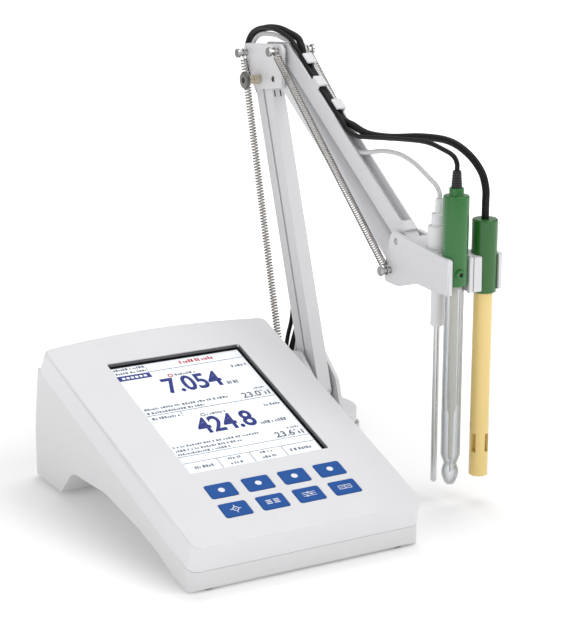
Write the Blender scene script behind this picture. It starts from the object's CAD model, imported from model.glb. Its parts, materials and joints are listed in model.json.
"""Bench meter with a jointed arm that holds three probes (pH, EC and temperature).

Lengths are in mm in the drawing frame: x to the right, y from front to back, z up, with
the pivot post at x 128, y 108. world() turns a drawing point into scene metres.
The display and keys lie on a sloped face with its own frame: x, v up the slope and
n out of the face. Point pairs in the arm's side view are (y, z).
"""
import bpy, bmesh, math, json
from mathutils import Vector, Matrix

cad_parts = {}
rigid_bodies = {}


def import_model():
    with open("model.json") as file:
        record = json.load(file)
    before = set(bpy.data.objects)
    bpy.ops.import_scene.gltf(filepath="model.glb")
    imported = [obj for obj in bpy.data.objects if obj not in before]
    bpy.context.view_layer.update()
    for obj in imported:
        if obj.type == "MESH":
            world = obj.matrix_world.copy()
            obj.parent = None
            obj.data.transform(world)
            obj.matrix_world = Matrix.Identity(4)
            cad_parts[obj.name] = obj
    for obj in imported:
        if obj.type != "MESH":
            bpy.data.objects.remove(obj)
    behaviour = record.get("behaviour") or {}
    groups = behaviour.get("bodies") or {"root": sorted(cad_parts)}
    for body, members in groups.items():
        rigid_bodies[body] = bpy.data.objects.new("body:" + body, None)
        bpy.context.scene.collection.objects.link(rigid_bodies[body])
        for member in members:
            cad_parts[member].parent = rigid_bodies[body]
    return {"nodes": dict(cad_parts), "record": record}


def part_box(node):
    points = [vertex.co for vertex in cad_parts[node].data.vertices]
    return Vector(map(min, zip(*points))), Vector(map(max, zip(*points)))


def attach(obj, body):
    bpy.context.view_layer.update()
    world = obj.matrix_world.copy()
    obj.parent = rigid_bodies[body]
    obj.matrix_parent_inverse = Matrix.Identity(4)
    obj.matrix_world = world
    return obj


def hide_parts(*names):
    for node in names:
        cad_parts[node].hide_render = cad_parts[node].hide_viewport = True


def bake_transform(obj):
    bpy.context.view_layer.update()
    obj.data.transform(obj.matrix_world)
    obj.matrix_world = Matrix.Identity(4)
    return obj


for old in list(bpy.data.objects):
    bpy.data.objects.remove(old, do_unlink=True)
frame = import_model()
bpy.context.view_layer.update()
NODES = frame["nodes"]
SLOT = {part["node"]: part["material_slot"] for part in frame["record"]["subparts"]}

# ---------------- driving dimensions ----------------
ARM_X = 128.0  # middle plane of the arm
POST_Y = 108
FACE_TILT = math.radians(17)
FACE_Y, FACE_Z = -112.0, 29.2  # front edge of the sloped face
WIN_WIDTH, WIN_HEIGHT, WIN_LOW = 94.4, 122.2, 65.8
WIN_LEFT, WIN_RIGHT = -WIN_WIDTH / 2, WIN_WIDTH / 2
WIN_HIGH = WIN_LOW + WIN_HEIGHT

LEAN = math.radians(18.6)  # lower links, from the vertical
DROP = math.radians(33.35)  # upper links, below the horizontal
FRONT_BASE, REAR_BASE = (98.5, 30.0), (117.0, 46.1)
SPRING_FOOT = (128.5, 27.0)
LOWER_LENGTH, UPPER_LENGTH = 220.1, 182.5
TOP_PIN, BOTTOM_PIN = (142.5, 261.0), (148.9, 241.2)  # back ends of the upper links
PH_Y, TEMP_Y = -61.0, -43.0  # probe axes

post_lo, post_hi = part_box("pivot_post")
SHIFT_X = ARM_X - 500 * (post_lo[0] + post_hi[0])
SHIFT_Y = POST_Y - 500 * (post_lo[1] + post_hi[1])


# ---------------- frames ----------------
def world(x, y, z):
    return Vector(((x - SHIFT_X) / 1000, (y - SHIFT_Y) / 1000, z / 1000))


def on_face(x, v, n):
    """Scene point from the sloped face's frame."""
    return world(x, FACE_Y + v * math.cos(FACE_TILT) - n * math.sin(FACE_TILT),
                 FACE_Z + v * math.sin(FACE_TILT) + n * math.cos(FACE_TILT))


def from_side(y, z, x):
    """Scene point from a side view, x being the depth."""
    return world(x, y, z)


def on_lower(base, along, off):
    """(y, z) up a lower link from base, off it towards the back."""
    return (base[0] + along * math.sin(LEAN) + off * math.cos(LEAN),
            base[1] + along * math.cos(LEAN) - off * math.sin(LEAN))


def on_upper(base, along, off):
    """(y, z) forward along an upper link from base, off it upwards."""
    return (base[0] - along * math.cos(DROP) - off * math.sin(DROP),
            base[1] - along * math.sin(DROP) + off * math.cos(DROP))


def rear(x, along, off):
    """Drawing point beside the rear lower link."""
    return (x, *on_lower(REAR_BASE, along, off))


def top(x, along, off):
    """Drawing point beside the top link."""
    return (x, *on_upper(TOP_PIN, along, off))


ELBOW_FRONT = on_lower(FRONT_BASE, LOWER_LENGTH, 0)
ELBOW_REAR = on_lower(REAR_BASE, LOWER_LENGTH, 0)
HEAD_BOTTOM = on_upper(BOTTOM_PIN, UPPER_LENGTH, 0)


# ---------------- materials ----------------
def new_material(name):
    material = bpy.data.materials.new(name)
    material.use_nodes = True
    return material, material.node_tree


def node(tree, kind, values=None, **settings):
    """New shader node; values are its input defaults by socket."""
    made = tree.nodes.new("ShaderNode" + kind)
    for key, value in settings.items():
        setattr(made, key, value)
    for key, value in (values or {}).items():
        made.inputs[key].default_value = value
    return made


def color_mix(tree, factor, first, second):
    """Colour output that goes from first to second with factor."""
    mix = node(tree, "Mix", {"A": (*first, 1), "B": (*second, 1)}, data_type="RGBA")
    tree.links.new(factor, mix.inputs["Factor"])
    return mix.outputs["Result"]


def surface(name, color, rough, edge_color=None, metal=0.0, noise=400.0, tint=0.02, bump=0.0,
            bump_scale=900.0, specular=0.5, transmission=0.0, coat=0.0, stretch=(1, 1, 1),
            emission=0.0):
    """Solid material with uneven roughness.

    Its colour varies by the share tint, or, with edge_color, darkens at grazing angles.
    """
    rough_spread = 0.06
    tint_noise = 0.11  # scale of the colour noise against the roughness noise
    material, tree = new_material(name)
    link = tree.links.new
    shader = tree.nodes["Principled BSDF"]
    coords = node(tree, "TexCoord")
    mapping = node(tree, "Mapping", {"Scale": stretch})
    link(coords.outputs["Object"], mapping.inputs["Vector"])

    def noise_output(scale, detail):
        texture = node(tree, "TexNoise", {"Scale": scale, "Detail": detail})
        link(mapping.outputs["Vector"], texture.inputs["Vector"])
        return texture.outputs["Fac"]

    spread = node(tree, "MapRange", {"To Min": rough - rough_spread,
                                     "To Max": rough + rough_spread})
    link(noise_output(noise, 4), spread.inputs["Value"])
    link(spread.outputs["Result"], shader.inputs["Roughness"])

    if edge_color:
        facing = node(tree, "LayerWeight", {"Blend": 0.5})
        ramp = node(tree, "MapRange", {"From Min": 0.12, "From Max": 0.62})
        link(facing.outputs["Facing"], ramp.inputs["Value"])
        base = color_mix(tree, ramp.outputs["Result"], color, edge_color)
    else:
        base = color_mix(tree, noise_output(noise * tint_noise, 3),
                         [c * (1 - tint) for c in color], [c * (1 + tint) for c in color])
    link(base, shader.inputs["Base Color"])

    for socket, value in {"Metallic": metal, "Specular IOR Level": specular, "IOR": 1.45,
                          "Transmission Weight": transmission, "Coat Weight": coat}.items():
        shader.inputs[socket].default_value = value
    if emission:
        shader.inputs["Emission Color"].default_value = (*color, 1)
        shader.inputs["Emission Strength"].default_value = emission
    if bump:
        relief = node(tree, "Bump", {"Strength": bump, "Distance": 0.0001})
        link(noise_output(bump_scale, 2), relief.inputs["Height"])
        link(relief.outputs["Normal"], shader.inputs["Normal"])
    return material


def clear_surface(name, color, gloss, edge_dark, graze):
    """Thin clear sheet or tube that lets light straight through.

    gloss is the reflection face on, graze what is added edge on, edge_dark the share of
    colour lost edge on.
    """
    material, tree = new_material(name)
    link = tree.links.new
    tree.nodes.remove(tree.nodes["Principled BSDF"])
    through = node(tree, "BsdfTransparent")
    glossy = node(tree, "BsdfGlossy")
    facing = node(tree, "LayerWeight", {"Blend": 0.35})
    texture = node(tree, "TexNoise", {"Scale": 300})
    coords = node(tree, "TexCoord")
    link(coords.outputs["Object"], texture.inputs["Vector"])
    rough = node(tree, "MapRange", {"To Min": 0.02, "To Max": 0.05})
    link(texture.outputs["Fac"], rough.inputs["Value"])
    link(rough.outputs["Result"], glossy.inputs["Roughness"])
    reflection = node(tree, "Math", {1: graze, 2: gloss}, operation="MULTIPLY_ADD")
    link(facing.outputs["Facing"], reflection.inputs[0])
    blend = node(tree, "MixShader")
    link(reflection.outputs[0], blend.inputs[0])
    base = color_mix(tree, facing.outputs["Facing"], color, [c * (1 - edge_dark) for c in color])
    link(base, through.inputs["Color"])
    link(through.outputs[0], blend.inputs[1])
    link(glossy.outputs[0], blend.inputs[2])
    link(blend.outputs[0], tree.nodes["Material Output"].inputs["Surface"])
    return material


SURFACES = dict(
    white_plastic=dict(color=(0.78, 0.78, 0.792), rough=0.45, bump=0.25, bump_scale=2600,
                       specular=0.4),
    housing_white=dict(color=(0.73, 0.722, 0.728), rough=0.48, bump=0.3, bump_scale=2600,
                       specular=0.4),
    panel_grey=dict(color=(0.60, 0.60, 0.62), rough=0.5, bump=0.2),
    black_plastic=dict(color=(0.012, 0.012, 0.014), rough=0.45, bump=0.2),
    steel=dict(color=(0.62, 0.62, 0.63), rough=0.3, metal=1.0, noise=260, bump=0.1),
    grey_silicone=dict(color=(0.25, 0.26, 0.28), rough=0.7),
    circuit_board=dict(color=(0.02, 0.16, 0.06), rough=0.45),
    rubber=dict(color=(0.02, 0.02, 0.021), rough=0.8, bump=0.3),
    blue_keys=dict(color=(0.008, 0.085, 0.34), rough=0.5, bump=0.15, bump_scale=3000,
                   specular=0.22),
    nickel=dict(color=(0.66, 0.64, 0.60), rough=0.2, metal=1.0),
    red_jack=dict(color=(0.5, 0.02, 0.015), rough=0.3),
    arm_white=dict(color=(0.70, 0.70, 0.712), rough=0.42, bump=0.3, bump_scale=2200,
                   specular=0.4),
    pin_steel=dict(color=(0.72, 0.71, 0.70), edge_color=(0.07, 0.068, 0.065), rough=0.2,
                   metal=1.0),
    knob_metal=dict(color=(0.17, 0.165, 0.15), rough=0.38, metal=0.75, noise=700),
    knob_dark=dict(color=(0.03, 0.03, 0.03), rough=0.5, metal=0.3),
    beige_metal=dict(color=(0.55, 0.49, 0.37), rough=0.35, metal=0.55),
    probe_green=dict(color=(0.018, 0.15, 0.026), rough=0.28, bump=0.2, bump_scale=1800,
                     coat=0.25),
    probe_dark_green=dict(color=(0.015, 0.12, 0.014), rough=0.3, bump=0.2, bump_scale=1800,
                          coat=0.25),
    element=dict(color=(0.62, 0.60, 0.55), rough=0.35, metal=0.4),
    paper=dict(color=(0.75, 0.72, 0.62), rough=0.8, bump=0.4),
    amber_plastic=dict(color=(0.90, 0.68, 0.25), rough=0.22, noise=90, transmission=0.12,
                       coat=0.3, tint=0.09, stretch=(9, 9, 0.25)),
    probe_white=dict(color=(0.76, 0.76, 0.77), rough=0.42, bump=0.2, specular=0.4),
    tube_steel=dict(color=(0.60, 0.60, 0.60), rough=0.22, metal=1.0, noise=200,
                    stretch=(6, 6, 0.4)),
    spring_steel=dict(color=(0.66, 0.63, 0.59), edge_color=(0.035, 0.032, 0.03), rough=0.24,
                      metal=1.0, noise=900),
    black_cable=dict(color=(0.006, 0.006, 0.007), rough=0.5, bump=0.25, bump_scale=1500,
                     specular=0.25),
    white_cable=dict(color=(0.60, 0.60, 0.605), rough=0.45, bump=0.2, bump_scale=1500,
                     specular=0.4),
    lcd_white=dict(color=(0.93, 0.945, 0.97), rough=0.5, tint=0.008, emission=0.22),
    lip_grey=dict(color=(0.13, 0.13, 0.14), rough=0.6, specular=0.2),
    lcd_black=dict(color=(0.006, 0.006, 0.008), rough=0.35),
    ink_blue=dict(color=(0.018, 0.035, 0.27), rough=0.6),
    ink_grey=dict(color=(0.16, 0.18, 0.24), rough=0.6),
    ink_red=dict(color=(0.62, 0.05, 0.09), rough=0.6),
    key_white=dict(color=(0.86, 0.87, 0.9), rough=0.5),
    dark_hole=dict(color=(0.008, 0.012, 0.008), rough=0.7),
)
MATERIALS = {name: surface(name, **values) for name, values in SURFACES.items()}
MATERIALS["clear_lens"] = clear_surface("clear_lens", color=(0.985, 0.99, 0.99), gloss=0.006,
                                        edge_dark=0.0, graze=0.03)
MATERIALS["glass"] = clear_surface("glass", color=(0.93, 0.94, 0.945), gloss=0.05,
                                   edge_dark=0.55, graze=0.5)


# ---------------- objects from meshes ----------------
def add_mesh(name, mesh, material, body=None, smooth=0, slot=None, stands=()):
    """Object from a mesh; smooth is the sharp-edge angle in degrees, 0 for flat faces.

    slot defaults to the material's name. stands lists the CAD nodes it replaces.
    """
    if smooth:
        for polygon in mesh.polygons:
            polygon.use_smooth = True
        mesh.set_sharp_from_angle(angle=math.radians(smooth))
    made = bpy.data.objects.new(name, mesh)
    bpy.context.scene.collection.objects.link(made)
    mesh.materials.append(MATERIALS[material])
    if stands:
        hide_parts(*stands)
    if body:
        bpy.context.view_layer.update()
        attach(made, body)
    return made


def add(name, shape, material, **options):
    """Object from a (verts, faces) shape."""
    verts, faces = shape
    mesh = bpy.data.meshes.new(name)
    mesh.from_pydata([tuple(v) for v in verts], [], faces)
    bm = bmesh.new()
    bm.from_mesh(mesh)
    bmesh.ops.recalc_face_normals(bm, faces=bm.faces)
    bm.to_mesh(mesh)
    bm.free()
    return add_mesh(name, mesh, material, **options)


# ---------------- shapes, each a (verts, faces) pair ----------------
def joined(shapes):
    verts, faces = [], []
    for part_verts, part_faces in shapes:
        start = len(verts)
        verts += part_verts
        faces += [tuple(start + i for i in face) for face in part_faces]
    return verts, faces


def spline(points, steps):
    """Catmull-Rom curve through the points."""
    out = []
    last = len(points) - 1
    for i in range(last):
        a, b, c, d = [Vector(points[k]) for k in (max(0, i - 1), i, i + 1, min(last, i + 2))]
        for j in range(steps):
            t = j / steps
            out.append(0.5 * (2 * b + (c - a) * t + (2 * a - 5 * b + 4 * c - d) * t * t
                              + (3 * b - a - 3 * c + d) * t ** 3))
    out.append(Vector(points[-1]))
    return out


def tube(path, radius, sides, caps=True):
    """Round tube along scene points; its rings twist as little as possible."""
    count = len(path)
    verts, faces = [], []
    across = None
    for i, point in enumerate(path):
        tangent = (path[min(count - 1, i + 1)] - path[max(0, i - 1)]).normalized()
        if across is None:
            across = tangent.orthogonal().normalized()
        across = (across - across.dot(tangent) * tangent).normalized()
        other = tangent.cross(across)
        for j in range(sides):
            angle = 2 * math.pi * j / sides
            verts.append(point + radius * (math.cos(angle) * across + math.sin(angle) * other))
    for i in range(count - 1):
        for j in range(sides):
            a, b = i * sides + j, i * sides + (j + 1) % sides
            faces.append((a, b, b + sides, a + sides))
    if caps:
        faces.append(tuple(range(sides)))
        faces.append(tuple((count - 1) * sides + j for j in range(sides)))
    return verts, faces


def turned(profile, segments, axis):
    """Closed profile turned about an axis; axis(radius, height, angle) gives the point.

    Profile rows are radius, height and, for a knurled ring, the depth of its grooves.
    """
    verts, rings = [], []
    for radius, height, *groove in profile:
        count = segments if radius > 1e-6 else 1
        rings.append(range(len(verts), len(verts) + count))
        for j in range(count):
            cut = groove[0] if groove and j % 6 in (0, 1) else 0
            verts.append(axis(radius - cut, height, 2 * math.pi * j / segments))
    faces = []
    for i, ring in enumerate(rings):
        after = rings[(i + 1) % len(rings)]
        for j in range(segments):
            corners = (ring[j % len(ring)], ring[(j + 1) % len(ring)],
                       after[(j + 1) % len(after)], after[j % len(after)])
            face = tuple(dict.fromkeys(corners))  # a pole repeats its one point
            if len(face) > 2:
                faces.append(face)
    return verts, faces


def rounded(x0, x1, v0, v1, radius, steps=5):
    """Outline of a rectangle with rounded corners."""
    out = []
    for x, v, start in ((x1 - radius, v0 + radius, -90), (x1 - radius, v1 - radius, 0),
                        (x0 + radius, v1 - radius, 90), (x0 + radius, v0 + radius, 180)):
        for i in range(steps + 1):
            angle = math.radians(start + 90 * i / steps)
            out.append((x + radius * math.cos(angle), v + radius * math.sin(angle)))
    return out


def plate(outline, n0, n1, point=on_face):
    """Outline given thickness from n0 to n1."""
    count = len(outline)
    verts = [point(x, v, n) for n in (n0, n1) for x, v in outline]
    faces = [tuple(reversed(range(count))), tuple(range(count, 2 * count))]
    for i in range(count):
        j = (i + 1) % count
        faces.append((i, j, count + j, count + i))
    return verts, faces


def block(x0, x1, v0, v1, n0, n1):
    return plate([(x0, v0), (x1, v0), (x1, v1), (x0, v1)], n0, n1)


def bar(x0, x1, v0, v1, n0, n1, radius=0.12):
    """Small block with rounded corners."""
    radius = min(radius, (x1 - x0) / 2.01, (v1 - v0) / 2.01)
    return plate(rounded(x0, x1, v0, v1, radius, 2), n0, n1)


def ring_plate(x, v, radius, width, n0, n1, segments=20):
    """Flat ring on the sloped face."""
    verts, faces = [], []
    for n in (n0, n1):
        for r in (radius - width, radius):
            for j in range(segments):
                angle = 2 * math.pi * j / segments
                verts.append(on_face(x + r * math.cos(angle), v + r * math.sin(angle), n))
    for j in range(segments):
        k = (j + 1) % segments
        for a, b in ((0, 1), (2, 3), (0, 2), (1, 3)):  # pairs of neighbouring circles
            a, b = a * segments, b * segments
            faces.append((a + j, a + k, b + k, b + j))
    return verts, faces


# ---------------- CAD nodes shown as they are ----------------
SOFT_KEYS = ["soft_key_%d" % i for i in (1, 2, 3, 4)]
LOWER_KEYS = ["cal_key", "mode_key", "setup_key", "help_key"]
REPLACED = {"screen_lens", "lcd_module", "lower_springs", "upper_springs",
            "lower_spring_hooks", "upper_spring_hooks", "ph_cable", "ec_cable", "temp_cable",
            "tension_knob", "ph_inner_element", "ph_glass_body", "ph_probe_cap"}
OTHER_MATERIAL = {"bottom_housing": "housing_white"}
DEFAULT_BEVEL = 0.2
BEVEL_NODES = {  # bevel width: nodes
    0.1: ["temp_probe_tube"],
    0.15: ["key_mat", "ec_probe_body"],
    0.3: ["ec_probe_cap", "temp_probe_handle"],
    0.35: ["lower_rear_link", "lower_front_link", "upper_top_link", "arm_base_plate",
           "base_pins", "elbow_pins", "head_pins"],
    0.4: ["holder_head"],
    0.45: ["top_cover", "elbow_left_plate", "elbow_right_plate", *SOFT_KEYS, *LOWER_KEYS],
    0.5: ["bottom_housing", "foot_bracket", "upper_bottom_link"],
}
BEVEL = {name: width for width, names in BEVEL_NODES.items() for name in names}


def dress(name):
    """Smooth shading, softened edges and the material for a CAD node."""
    part = NODES[name]
    mesh = part.data
    for polygon in mesh.polygons:
        polygon.use_smooth = True
    if "custom_normal" in mesh.attributes:
        mesh.attributes.remove(mesh.attributes["custom_normal"])
    weld = part.modifiers.new("weld", "WELD")
    weld.merge_threshold = 2e-6
    planar = part.modifiers.new("planar", "DECIMATE")
    planar.decimate_type = "DISSOLVE"
    planar.angle_limit = math.radians(0.4)
    edge = part.modifiers.new("edge", "BEVEL")
    edge.width = BEVEL.get(name, DEFAULT_BEVEL) / 1000
    edge.segments = 3
    edge.limit_method = "ANGLE"
    edge.angle_limit = math.radians(38)
    edge.use_clamp_overlap = True
    edge.miter_outer = "MITER_ARC"
    normals = part.modifiers.new("normals", "WEIGHTED_NORMAL")
    normals.keep_sharp = True
    normals.weight = 60
    mesh.materials.clear()
    mesh.materials.append(MATERIALS[OTHER_MATERIAL.get(name, SLOT[name])])


for name in NODES:
    if name not in REPLACED:
        dress(name)

# ---------------- display window ----------------
ON_DISPLAY = dict(body="console", slot="black_plastic")
pane = rounded(WIN_LEFT - 2, WIN_RIGHT + 2, WIN_LOW - 2.6, WIN_HIGH + 2.6, 1.2)
add("screen_window_pane", plate(pane, -3.15, -2.58), "clear_lens", body="console", smooth=30,
    stands=("screen_lens",))

backing = rounded(WIN_LEFT - 3, WIN_RIGHT + 3, WIN_LOW - 4, WIN_HIGH + 4, 1)
GASKET = (  # x0, x1, v0, v1 of four bars round the display
    (WIN_LEFT - 2, WIN_LEFT + 0.15, WIN_LOW - 2.5, WIN_HIGH + 2.5),
    (WIN_RIGHT - 0.15, WIN_RIGHT + 2, WIN_LOW - 2.5, WIN_HIGH + 2.5),
    (WIN_LEFT, WIN_RIGHT, WIN_LOW - 2.5, WIN_LOW + 0.1),
    (WIN_LEFT, WIN_RIGHT, WIN_HIGH - 0.15, WIN_HIGH + 2.5))
add("display_body",
    joined([plate(backing, -8.2, -3.86)] + [block(*sides, -3.85, -3.2) for sides in GASKET]),
    "lcd_black", stands=("lcd_module",), **ON_DISPLAY)

LIP = (  # x0, x1, v0, v1 of the strips that line the opening
    (WIN_LEFT + 0.02, WIN_LEFT + 0.35, WIN_LOW + 1.2, WIN_HIGH - 1.2),
    (WIN_RIGHT - 0.35, WIN_RIGHT - 0.02, WIN_LOW + 1.2, WIN_HIGH - 1.2),
    (WIN_LEFT + 1.2, WIN_RIGHT - 1.2, WIN_LOW + 0.02, WIN_LOW + 0.35),
    (WIN_LEFT + 1.2, WIN_RIGHT - 1.2, WIN_HIGH - 0.35, WIN_HIGH - 0.02))
add("window_lip", joined(block(*sides, -2.57, -0.75) for sides in LIP), "lip_grey",
    **ON_DISPLAY)

screen = rounded(WIN_LEFT + 0.1, WIN_RIGHT - 1.6, WIN_LOW + 0.05, WIN_HIGH - 1.5, 0.4)
add("display_glass", plate(screen, -3.85, -3.76), "lcd_white", **ON_DISPLAY)

# ---------------- display print ----------------
PRINT_LOW, PRINT_TOP = -3.77, -3.70  # n
MARK_WIDTH, MARK_STEP = 0.7778, 0.11111  # narrowest word mark, and what each size adds
MARK_GAP, WIDE_GAP = 0.5556, 1.4444
LINE_ROOM = 0.72  # a line of marks stops when less than this is left


def mark(x0, x1, v0, v1):
    return bar(x0, x1, v0, v1, PRINT_LOW, PRINT_TOP, 0.1)


def words(x0, x1, v0, v1, seed):
    """Marks in place of a line of small print, one in about three of them lower."""
    marks = []
    x = x0
    while x < x1 - LINE_ROOM:
        seed = (seed * 31 + 17) % 97
        width = MARK_WIDTH + MARK_STEP * (seed % 9)
        high = v1 - (v1 - v0) * (0.30 if seed % 3 == 0 else 0.0)
        marks.append(mark(x, min(x + width, x1), v0, high))
        x += width + (MARK_GAP if seed % 4 else WIDE_GAP)
    return marks


def all_words(lines):
    return [shape for line in lines for shape in words(*line)]


def print_ring(x, v, radius, width):
    return ring_plate(x, v, radius, width, PRINT_LOW, PRINT_TOP)


LEVEL_RULES = (  # x0, x1, v, half width
    (-21.833, 45.056, 177.622, 0.2444), (-44.278, 45.056, 131.844, 0.2444),
    (-44.278, 45.056, 87.067, 0.2), (-44.278, 45.056, 80.4, 0.2))
UPRIGHT_RULES = (  # x, v0, v1, half width
    (-22.056, 69.733, 80.4, 0.2), (-0.056, 69.733, 80.4, 0.2), (21.944, 69.733, 80.4, 0.2),
    (-21.833, 126.622, 131.844, 0.2), (-21.833, 177.622, 183.733, 0.1333))
SMALL_PRINT = (  # x0, x1, v0, v1, seed
    (-43.833, -22.278, 183.067, 185.289, 5), (-43.833, -22.278, 179.067, 181.067, 11),
    (-7.167, 6.833, 169.067, 171.289, 9), (32.833, 43.722, 168.178, 170.733, 13),
    (21.722, 30.167, 151.067, 154.4, 21), (-42.944, 15.944, 137.511, 139.622, 2),
    (-42.944, -2.944, 133.4, 135.4, 4), (35.056, 43.278, 141.511, 143.067, 6),
    (-42.278, -23.389, 127.067, 129.511, 8), (-7.167, 6.833, 123.289, 125.289, 10),
    (32.833, 43.722, 122.178, 124.622, 12), (21.722, 39.278, 104.844, 107.956, 14),
    (-42.944, 15.944, 96.178, 97.956, 16), (-42.944, 1.5, 92.178, 94.067, 18),
    (-42.944, -6.833, 88.622, 90.4, 20), (35.056, 43.056, 95.956, 97.511, 22),
    (-38.944, -26.722, 73.733, 76.289, 24), (-15.389, -7.167, 76.956, 78.956, 26),
    (-15.833, -7.389, 71.956, 74.178, 28), (6.611, 14.389, 76.956, 78.956, 30),
    (5.722, 14.833, 71.956, 74.178, 32), (25.722, 40.833, 73.733, 76.289, 34))
GREY_RINGS = (  # x, v, radius, width
    (-9.611, 124.4, 1.7, 0.7), (38.5, 138.956, 0.8, 0.4), (38.5, 93.733, 0.8, 0.4))
RING_PRINT = (  # the words beside the two small rings: x0, x1, v0, v1, seed
    (39.833, 43.5, 133.956, 138.622, 1), (39.833, 43.5, 88.956, 93.511, 1))

grey = [mark(x0, x1, v - half, v + half) for x0, x1, v, half in LEVEL_RULES]
grey += [mark(x - half, x + half, v0, v1) for x, v0, v1, half in UPRIGHT_RULES]
grey += all_words(SMALL_PRINT)
grey += [print_ring(*ring) for ring in GREY_RINGS]
grey += all_words(RING_PRINT)
red = words(1.722, 26.167, 180.844, 184.289, seed=7)
red.append(print_ring(-10.278, 170.178, radius=1.9, width=0.8))
add("display_grey_marks", joined(grey), "ink_grey", **ON_DISPLAY)
add("display_red_marks", joined(red), "ink_red", **ON_DISPLAY)
add("display_blue_label", mark(-44.722, -22.056, 171.844, 177.289), "ink_blue", **ON_DISPLAY)

LABEL_X, LABEL_PITCH, LABEL_WIDTH = -41.833, 3, 2
label_starts = [LABEL_X + LABEL_PITCH * i for i in range(6)]
add("display_label_marks",
    joined(bar(x, x + LABEL_WIDTH, 173.4, 175.511, PRINT_TOP - 0.01, PRINT_TOP + 0.03)
           for x in label_starts), "lcd_white", **ON_DISPLAY)


def reading(name, text, x0, x1, v0, v1, material, bold):
    """Raised number on the display, stretched to fill its box."""
    curve = bpy.data.curves.new(name, "FONT")
    curve.body = text
    curve.size = 1.0
    curve.offset = bold
    curve.resolution_u = 4
    flat = bpy.data.objects.new(name + "_t", curve)
    bpy.context.scene.collection.objects.link(flat)
    bpy.context.view_layer.update()
    depsgraph = bpy.context.evaluated_depsgraph_get()
    mesh = bpy.data.meshes.new_from_object(flat.evaluated_get(depsgraph))
    bpy.data.objects.remove(flat, do_unlink=True)
    bm = bmesh.new()
    bm.from_mesh(mesh)
    bmesh.ops.remove_doubles(bm, verts=bm.verts, dist=1e-5)
    xs = [vert.co.x for vert in bm.verts]
    ys = [vert.co.y for vert in bm.verts]
    scale_x = (x1 - x0) / (max(xs) - min(xs))
    scale_v = (v1 - v0) / (max(ys) - min(ys))
    extruded = bmesh.ops.extrude_face_region(bm, geom=list(bm.faces))
    raised = {item for item in extruded["geom"] if isinstance(item, bmesh.types.BMVert)}
    for vert in bm.verts:
        n = PRINT_TOP + 0.005 if vert in raised else PRINT_LOW
        vert.co = on_face(x0 + (vert.co.x - min(xs)) * scale_x,
                          v0 + (vert.co.y - min(ys)) * scale_v, n)
    bmesh.ops.recalc_face_normals(bm, faces=bm.faces)
    bm.to_mesh(mesh)
    bm.free()
    mesh.materials.clear()
    add_mesh(name, mesh, material, **ON_DISPLAY)


READINGS = (  # name, text, x0, x1, v0, v1, material, boldness
    ("display_reading_top", "7.054", -19.389, 19.722, 150.844, 167.956, "ink_blue", 0.022),
    ("display_reading_low", "424.8", -18.944, 20.167, 105.067, 121.956, "ink_blue", 0.022),
    ("display_small_top", "23.0", 24.167, 37.278, 133.733, 139.511, "ink_grey", 0.02),
    ("display_small_low", "23.6", 24.167, 37.278, 88.733, 94.511, "ink_grey", 0.02))
for row in READINGS:
    reading(*row)

# ---------------- key prints ----------------
KEY_PITCH = 24.3
DOT_V, DOT_RADIUS, DOT_SIDES = 45.8, 2.05, 32
ICON_V = 27.2
INK_LOW, INK_TOP = 0.30, 0.40  # n
# Icon rows: x and v from the icon's middle, half width, half height, then optionally the
# corner radius and the n of the top.
TARGET = [(dx, dv, 0.28 + abs(dx) * 0.27, 0.28 + abs(dv) * 0.27)
          for dx, dv in ((0, 2.6), (0, -2.6), (2.6, 0), (-2.6, 0))] + [(0, 0, 0.4, 0.4, 0.35)]
LISTS = [(side * 2.5, row * 1.5, 1.8, 0.35) for row in (-1, 0, 1) for side in (-1, 1)]
SLIDERS = [bar_or_grip for row, grip in ((-1, -1.8), (0, 1.4), (1, -0.3))
           for bar_or_grip in ((0, row * 1.6, 4.4, 0.18),
                               (grip, row * 1.6, 0.75, 0.6, 0.5, 0.405))]
BOOK = [(side * x, v, half_x, half_v) for side in (-1, 1)
        for x, v, half_x, half_v in ((2.2, -1.6, 1.9, 0.2), (2.2, 1.6, 1.9, 0.2),
                                     (4.1, 0, 0.2, 1.8), (2.1, 0.025, 1.2, 0.175))]
BOOK.append((0, 0, 0.25, 1.8))


def icon_bar(key_x, dx, dv, half_x, half_v, radius=0.12, high=INK_TOP):
    x, v = key_x + dx, ICON_V + dv
    return bar(x - half_x, x + half_x, v - half_v, v + half_v, INK_LOW, high, radius)


for i, rows in enumerate((TARGET, LISTS, SLIDERS, BOOK)):
    key_x = (i - 1.5) * KEY_PITCH
    angles = [2 * math.pi * j / DOT_SIDES for j in range(DOT_SIDES)]
    disc = [(key_x + DOT_RADIUS * math.cos(a), DOT_V + DOT_RADIUS * math.sin(a)) for a in angles]
    add("key_dot_%d" % (i + 1), plate(disc, INK_LOW, INK_TOP), "key_white",
        body="body_" + SOFT_KEYS[i], slot="blue_keys")
    shapes = [icon_bar(key_x, *row) for row in rows]
    if rows is TARGET:
        shapes.insert(0, ring_plate(key_x, ICON_V, 2.0, 0.5, INK_LOW, INK_TOP, segments=24))
    add("key_mark_%d" % (i + 1), joined(shapes), "key_white", body="body_" + LOWER_KEYS[i],
        slot="blue_keys")

# ---------------- slots in the front lower link ----------------
SLOT_WIDTH = 0.9
SLOT_CORNERS = ((206.0, -6.03), (210.5, -6.03), (210.5, -5.4), (206.0, -5.4))  # along, off
slot_outline = [on_lower(FRONT_BASE, along, off) for along, off in SLOT_CORNERS]
add("front_link_slots",
    joined(plate(slot_outline, x, x + SLOT_WIDTH, from_side) for x in (ARM_X - 3.5, ARM_X + 1.0)),
    "dark_hole", body="front_link", slot="arm_white")

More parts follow.
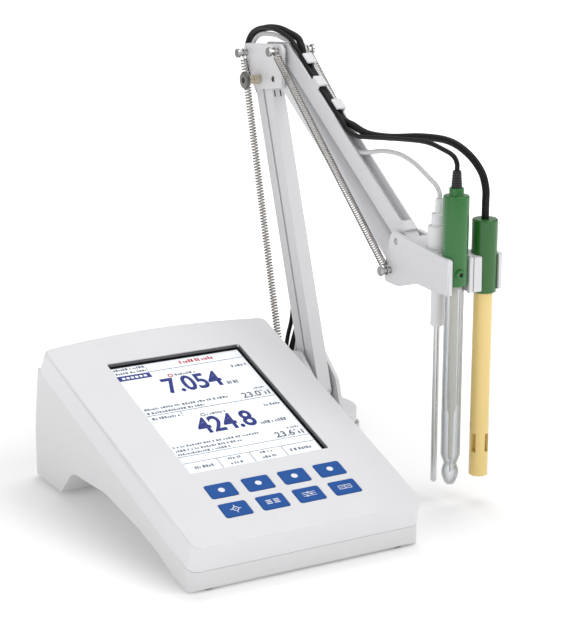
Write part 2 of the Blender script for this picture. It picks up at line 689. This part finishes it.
# ---------------- springs ----------------
SPRING_OFFSET = 12.8  # each side of the arm's middle plane
COIL_INSET = 4.6  # from a pin to the first coil
HOOK_RADIUS, HOOK_WIRE = 2.58, 0.00044  # mm; wire radius in scene metres
RIGHT = Vector((1, 0, 0))
STEEL = dict(material="spring_steel", smooth=180)


def hook(tag, side, end, pin, inward, across, body, ring_body, replaced):
    """Open ring round a pin and the shank that leads into the coils.

    The far ring (end 1) stays on its pin; only its shank slides with the spring.
    """
    angles = [math.radians(20 + 320 * i / 26) for i in range(27)]
    ring = [pin + HOOK_RADIUS * (math.cos(a) * inward + math.sin(a) * across) for a in angles]
    shank = [pin + inward * 3.8] + [pin + inward * reach + RIGHT * shift
                                    for reach, shift in ((4.3, 0.6), (4.7, 1.5), (4.95, 2.0))]

    def wire(points):
        return tube([world(*p) for p in spline(points, 2)], HOOK_WIRE, 8)

    if end:
        add("%s_ring_%s" % (tag, side), wire(ring), body=ring_body, **STEEL)
        start = [pin + inward * 2.95]
    else:
        start = ring + [pin + inward * 3.1 + across * -0.2]
    add("%s_hook_%s_%d" % (tag, side, end), wire(start + shank), body=body,
        stands=(replaced,), **STEEL)


def spring_pair(tag, near, far, pitch, wire, radius, ring_body):
    """Left and right springs between two (y, z) pins."""
    coils, ends = tag + "_spring_coils", tag + "_spring_ends"
    springs, hooks = tag + "_springs", tag + "_spring_hooks"
    span = Vector((0, *far)) - Vector((0, *near))
    along = span.normalized()
    across = RIGHT.cross(along)
    coil_length = span.length - 2 * COIL_INSET
    turns = int(coil_length / pitch)
    steps = turns * 14
    for sign, side in ((-1, "left"), (1, "right")):
        x = ARM_X + sign * SPRING_OFFSET
        base = Vector((x, *near))
        path = []
        for i in range(steps + 1):
            t = i / steps
            angle = 2 * math.pi * turns * t
            path.append(world(*(base + along * (COIL_INSET + coil_length * t)
                                + radius * (math.cos(angle) * RIGHT + math.sin(angle) * across))))
        coil = add("%s_spring_%s" % (tag, side), tube(path, wire / 1000, 6), stands=(springs,),
                   **STEEL)
        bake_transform(coil)
        hook(tag, side, 0, base, along, across, coils, ring_body, springs)
        hook(tag, side, 1, Vector((x, *far)), -along, across, ends, ring_body, hooks)


spring_pair("lower", SPRING_FOOT, ELBOW_REAR, pitch=2.0, wire=0.48, radius=2.15,
            ring_body="elbow")
spring_pair("upper", TOP_PIN, HEAD_BOTTOM, pitch=1.75, wire=0.45, radius=2.18,
            ring_body="holder")

# ---------------- cables ----------------
# Stations x, y, z from the back of the console, up the arm and down to the probe.
PH_PATH = [
    (51, 126, 56), (51, 131, 56), (51, 135.5, 56), (51, 139, 55.6), (53, 146, 48.5),
    (62, 148, 26), (82, 149, 10), (102, 149, 6), (118, 147, 12), (124.6, 144.5, 26),
    (125, 145, 40), (125.2, 141.5, 58), rear(126, 31, 11), rear(126.2, 43, 5.4),
    rear(126.2, 56, 3.5), rear(126.2, 70, 3.45), rear(126.2, 160, 3.45), rear(126.2, 176, 3.5),
    rear(126.1, 192, 6.7), rear(125.7, 206, 12.5), (125.5, 199.2, 248), (125.3, 200.2, 258.5),
    (125, 192.5, 267.5), (124.9, 178, 272.7), (124.9, 160, 273.6), (125, 149, 272.3),
    top(125, 0, 9.8), top(125, 6, 9.7), top(125.3, 11, 9.8), top(125.85, 17, 8.4),
    top(125.95, 22, 8), top(125.95, 44, 8), top(125.95, 66, 8.1), top(125.95, 76, 8.8),
    top(125.4, 84, 9.4), (125.2, 61.5, 218.8), (125.1, 50, 217.3), (125, 34, 219),
    (126, 3, 223), (127, -28, 226), (128, -46, 224.2), (128, -56.5, 222.2),
    (128, -60.6, 218.5), (128, PH_Y, 214.5), (128, PH_Y, 208), (128, PH_Y, 199)]
EC_PATH = [
    (6, 127, 49), (6, 132, 49), (6, 136.5, 49), (6, 140.5, 48.6), (10, 149, 41),
    (26, 153, 20), (52, 157, 5.5), (84, 158, 4), (110, 157, 8), (124, 153, 22),
    (129.4, 148.5, 38), (129.3, 139.5, 56), rear(129.05, 25, 10), rear(129.05, 36, 3.4),
    rear(129, 48, 0.8), rear(129, 62, 0.7), rear(129, 166, 0.7), rear(129, 180, 0.8),
    rear(129, 192, 2.7), rear(129.05, 200, 5.6), rear(129.9, 207, 9.6), rear(130.2, 212, 12.7),
    (130.2, 201.3, 251), (130.2, 201, 260), (130.2, 193, 267.5), (130.2, 180, 272),
    (130.2, 163, 273.5), (130.2, 149, 272.2), top(130.2, 0, 10.7), top(129.9, 6, 10.4),
    top(129.25, 11, 9.3), top(129.23, 17, 6.1), top(129.2, 23, 5.9), top(129.2, 44, 5.9),
    top(129.2, 68, 5.9), top(129.25, 77, 6.4), top(129.3, 83, 8.7), top(130, 88, 11),
    (130.8, 46, 218.9), (133, 22, 220.3), (137, -8, 225), (141, -32, 226), (145, -47, 220.5),
    (148.2, -57, 211), (149.4, -60.8, 201), (149.5, PH_Y, 192), (149.5, PH_Y, 187),
    (149.5, PH_Y, 182)]
TEMP_PATH = [
    (51, 124, 38), (51, 129, 38), (51, 133.5, 38), (51, 137, 37.6), (54, 141, 31),
    (68, 140.5, 13), (88, 141.5, 4), (106, 142, 2.5), (120, 141, 7), (126.2, 139.6, 20),
    (126.6, 138, 34), (126.3, 131.8, 49), rear(126.1, 16, 6.8), rear(126.1, 26, 0.8),
    rear(126.1, 38, -1.7), rear(126.1, 52, -1.9), rear(126.15, 172, -1.9),
    rear(126.15, 184, -1.8), rear(126.3, 196, 0), rear(126.9, 204, 3.9), rear(127.5, 211, 8.2),
    (127.6, 196.6, 251), (127.6, 196.2, 258), (127.6, 190, 264.5), (127.6, 180, 268),
    (127.6, 163, 269.2), (127.5, 150, 267.9), top(127.4, -1.5, 7.4), top(127.4, 6, 7),
    top(126.4, 10.5, 6.6), top(126, 17, 3.9), top(126, 23, 3.1), top(126, 44, 3.1),
    top(126, 88, 3.1), top(126, 99, 3.6), (126.2, 50.5, 206.9), (126.5, 40.5, 207.9),
    (127.6, 21, 212), (127.8, 2, 213), (128, -15, 210), (128, -31, 204), (128, -38.5, 201),
    (128, -42.6, 197), (128, TEMP_Y, 193.8), (128, TEMP_Y, 188), (128, TEMP_Y, 182)]
# Bodies at the start and end of each piece; None where it rides on the first alone.
PIECE_BODIES = (("console", None), ("console", "arm_foot"), ("arm_foot", "rear_link"),
                ("rear_link", None), ("rear_link", "elbow"), ("elbow", "top_link"),
                ("top_link", None), ("top_link", "holder"))
CABLE_STEPS, CABLE_SIDES = 8, 18


def cable(name, stations, cuts, radius, material, probe):
    """One run of rings, cut at the stations in cuts so that each piece follows the arm."""
    path = [world(*p) for p in spline(stations, CABLE_STEPS)]
    verts, faces = tube(path, radius / 1000, CABLE_SIDES, caps=False)
    bodies = PIECE_BODIES + (("holder", probe),)
    for k, (first_body, last_body) in enumerate(bodies):
        first, last = cuts[k] * CABLE_STEPS, cuts[k + 1] * CABLE_STEPS
        offset = first * CABLE_SIDES
        piece_verts = verts[offset:(last + 1) * CABLE_SIDES]
        piece_faces = [tuple(i - offset for i in face)
                       for face in faces[offset:last * CABLE_SIDES]]
        if k == 0:
            piece_faces.append(tuple(range(CABLE_SIDES)))
        if k == len(bodies) - 1:
            piece_faces.append(tuple(range(len(piece_verts) - CABLE_SIDES, len(piece_verts))))
        piece = add("%s_part_%d" % (name, k + 1), (piece_verts, piece_faces), material,
                    body=None if last_body else first_body, smooth=60, stands=(name,))
        if last_body:
            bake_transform(piece)


cable("ph_cable", PH_PATH, (0, 3, 11, 15, 17, 21, 30, 33, 39, 45), radius=1.5,
      material="black_cable", probe="ph_probe")
cable("ec_cable", EC_PATH, (0, 3, 11, 15, 17, 23, 32, 34, 40, 47), radius=2.35,
      material="black_cable", probe="ec_probe")
cable("temp_cable", TEMP_PATH, (0, 3, 11, 15, 17, 22, 31, 33, 38, 45), radius=1.5,
      material="white_cable", probe="temp_probe")

# ---------------- knob ----------------
KNOB = dict(body="knob", slot="knob_metal", stands=("tension_knob",))


def knob_axis(radius, x, angle):
    """x is measured from the arm's middle plane."""
    return world(ARM_X + x, ELBOW_FRONT[0] + radius * math.cos(angle),
                 ELBOW_FRONT[1] + radius * math.sin(angle))


DISC = [  # radius, x, groove depth
    (2.1, -22.8), (5.0, -22.8), (5.55, -22.6), (5.85, -22.3, 0.25), (5.85, -20.4, 0.25),
    (5.5, -20.0), (2.1, -20.0)]
SPACER = [  # radius, x
    (2.1, -19.95), (2.7, -19.95), (2.85, -19.8), (2.85, -15.6), (3.1, -15.5), (3.3, -15.3),
    (3.3, -10.3), (3.15, -10.15), (2.1, -10.15)]
add("knob_disc", turned(DISC, 180, knob_axis), "knob_metal", smooth=30, **KNOB)
add("knob_spacer", turned(SPACER, 72, knob_axis), "beige_metal", smooth=30, **KNOB)

SOCKET_RADIUS = 1.75  # to the corners of the hexagon
hexagon = [(ELBOW_FRONT[0] + SOCKET_RADIUS * math.cos(i * math.pi / 3),
            ELBOW_FRONT[1] + SOCKET_RADIUS * math.sin(i * math.pi / 3)) for i in range(6)]
add("knob_socket", plate(hexagon, ARM_X - 22.86, ARM_X - 22.02, from_side), "dark_hole", **KNOB)

# ---------------- pH probe cap ----------------
PH_CAP = dict(body="ph_probe", slot="probe_green", stands=("ph_probe_cap",))
BOSS_X, BOSS_Z = ARM_X - 1.4, 151.4


def probe_axis(radius, z, angle):
    return world(ARM_X + radius * math.cos(angle), PH_Y + radius * math.sin(angle), z)


def boss_axis(radius, y, angle):
    """y is measured from the probe's axis."""
    return world(BOSS_X + radius * math.cos(angle), PH_Y + y, BOSS_Z + radius * math.sin(angle))


CAP_SHELL = [  # radius, z
    (6.1, 143.7), (6.3, 143.5), (7.75, 143.5), (7.93, 143.58), (8, 143.8), (8, 198.0),
    (7.9, 198.5), (7.6, 198.85), (7.1, 199), (4.7, 199), (4.56, 199.1), (4.5, 199.3),
    (4.5, 203.2), (4.4, 203.45), (4.15, 203.6), (1.65, 203.6), (1.65, 196), (6.1, 196)]
add("ph_cap_shell", turned(CAP_SHELL, 96, probe_axis), "probe_green", smooth=40, **PH_CAP)

# Ribbed sleeve round the cable: six tapering ribs with grooves between.
relief = [(1.6, 196.5), (3.2, 203.7)]
for i in range(6):
    z, radius = 204.1 + 1.55 * i, 3.35 - 0.11 * i
    relief += [(radius, z), (radius, z + 0.85), (radius - 0.38, z + 1.0),
               (radius - 0.38, z + 1.4)]
relief += [(2.65, 213.4), (2.55, 213.85), (2.3, 214), (1.6, 214)]
add("ph_cap_relief", turned(relief, 48, probe_axis), "black_plastic", smooth=30, **PH_CAP)

FILL_BOSS = [  # radius, y
    (1.3, -6.8), (3.1, -6.8), (3.1, -9.0), (3.0, -9.2), (2.8, -9.3), (1.55, -9.3),
    (1.35, -9.15)]
FILL_HOLE = [(0.02, -7.0), (1.32, -7.0), (1.32, -8.6), (0.02, -8.6)]
add("ph_fill_boss", turned(FILL_BOSS, 48, boss_axis), "probe_green", smooth=40, **PH_CAP)
add("ph_fill_hole", turned(FILL_HOLE, 24, boss_axis), "dark_hole", smooth=30, **PH_CAP)

# ---------------- pH electrode ----------------
GLASS_WALL = 0.75
BULB_Z, BULB_HEIGHT, BULB_SWELL, NECK_RADIUS = 27.6, 10.4, 1.25, 4.0
glass = [(6, 195.8), (6, 34.6), (5.9, 33.6), (5.4, 32.2), (4.6, 30.2), (4.1, 28.6),
         (NECK_RADIUS, BULB_Z)]
glass += [(NECK_RADIUS + BULB_SWELL * math.sin(math.radians(t)), BULB_Z - BULB_HEIGHT * t / 180)
          for t in range(10, 176, 15)]
glass += [(3.9, 16.9), (3.2, 15.4), (2.2, 14.5), (1.1, 14.06), (0, 14)]
# The inner wall runs back up, raised where the tip closes.
inner = [(0, 14.8)] + [(radius - GLASS_WALL, z + (0.7 if radius < 3.5 else 0))
                       for radius, z in reversed(glass[:-1])]
add("ph_glass", turned(glass + inner, 64, probe_axis), "glass", body="ph_probe", smooth=40,
    stands=("ph_glass_body",))

ELEMENT = dict(body="ph_probe", slot="element", stands=("ph_inner_element",))
WIRE_RADIUS = 0.0004  # scene metres
INNER_TUBE = [  # radius, z
    (0, 30.5), (1.2, 30.5), (1.5, 32), (1.6, 60), (1.7, 61), (2.6, 63), (2.6, 194.9),
    (0, 194.9)]
add("ph_inner_tube", turned(INNER_TUBE, 40, probe_axis), "paper", smooth=30, **ELEMENT)
tip_wire = [world(ARM_X + 0.2 * math.sin(i), PH_Y + 0.2 * math.cos(i), 22 + i * 0.9)
            for i in range(10)]
add("ph_tip_wire", tube(tip_wire, WIRE_RADIUS, 8), "element", smooth=40, **ELEMENT)
reference_wire = [world(ARM_X + 3.9, PH_Y - 0.6, 66 + i * 12) for i in range(11)]
add("ph_reference_wire", tube(reference_wire, WIRE_RADIUS, 8), "element", smooth=40, **ELEMENT)

# ---------------- camera ----------------
camera = bpy.data.objects.new("camera", bpy.data.cameras.new("camera"))
bpy.context.scene.collection.objects.link(camera)
right = Vector((0.87368, -0.48650, 0)).normalized()
forward = Vector((0.46858, 0.84149, -0.26892)).normalized()
upward = right.cross(forward)
camera.matrix_world = Matrix.Translation(world(-522.92, -1012.94, 448.47)) @ Matrix(
    (right, upward, -forward)).transposed().to_4x4()
camera.data.sensor_width = 36
camera.data.lens = 113.6033
camera.data.clip_start = 0.01
camera.data.clip_end = 20
bpy.context.scene.camera = camera


# ---------------- lights and world, in scene metres ----------------
def area_light(name, location, target, size, power):
    light = bpy.data.lights.new(name, "AREA")
    light.shape = "RECTANGLE"
    light.size, light.size_y = size
    light.energy = power
    lamp = bpy.data.objects.new(name, light)
    bpy.context.scene.collection.objects.link(lamp)
    lamp.location = location
    direction = Vector(target) - Vector(location)
    lamp.rotation_euler = direction.to_track_quat("-Z", "Y").to_euler()


area_light("key_light", location=(0.8, -1.0, 1.3), target=(0, 0, 0.08), size=(0.9, 0.9), power=7)
area_light("left_light", location=(-1.4, -0.6, 0.7), target=(0, 0, 0.1), size=(1.2, 1.0),
           power=4)
area_light("top_light", location=(0.35, 0.3, 1.6), target=(0, 0, 0.1), size=(1.1, 0.9),
           power=8.5)

# The world lights the scene softly, but the camera sees it as plain white.
studio = bpy.data.worlds.new("studio")
studio.use_nodes = True
tree = studio.node_tree
ambient = tree.nodes["Background"]
ambient.inputs["Color"].default_value = (0.985, 0.985, 1.0, 1)
ambient.inputs["Strength"].default_value = 0.55
backdrop = node(tree, "Background", {"Color": (1, 1, 1, 1), "Strength": 1.0})
light_path = node(tree, "LightPath")
blend = node(tree, "MixShader")
tree.links.new(light_path.outputs["Is Camera Ray"], blend.inputs[0])
tree.links.new(ambient.outputs[0], blend.inputs[1])
tree.links.new(backdrop.outputs[0], blend.inputs[2])
tree.links.new(blend.outputs[0], tree.nodes["World Output"].inputs["Surface"])
bpy.context.scene.world = studio

# ---------------- floor ----------------
FLOOR_Z = -0.0002
floor_mesh = bpy.data.meshes.new("floor")
floor_mesh.from_pydata([(-6, -6, FLOOR_Z), (6, -6, FLOOR_Z), (6, 9, FLOOR_Z), (-6, 9, FLOOR_Z)],
                       [], [(0, 1, 2, 3)])
floor = bpy.data.objects.new("floor", floor_mesh)
bpy.context.scene.collection.objects.link(floor)
# The emission switches the glow on; its strength then grows with distance from the origin.
paper = surface("floor_paper", color=(0.93, 0.93, 0.93), rough=0.8, noise=8, tint=0.004,
                specular=0.1, emission=0.13)
floor_mesh.materials.append(paper)
tree = paper.node_tree
geometry = node(tree, "NewGeometry")
distance = node(tree, "VectorMath", operation="LENGTH")
tree.links.new(geometry.outputs["Position"], distance.inputs[0])
glow = node(tree, "MapRange", {"From Min": 0.15, "From Max": 0.6, "To Min": 0.12, "To Max": 0.66})
tree.links.new(distance.outputs["Value"], glow.inputs["Value"])
tree.links.new(glow.outputs["Result"], tree.nodes["Principled BSDF"].inputs["Emission Strength"])
bpy.context.scene.view_settings.view_transform = "Standard"

bpy.context.view_layer.update()
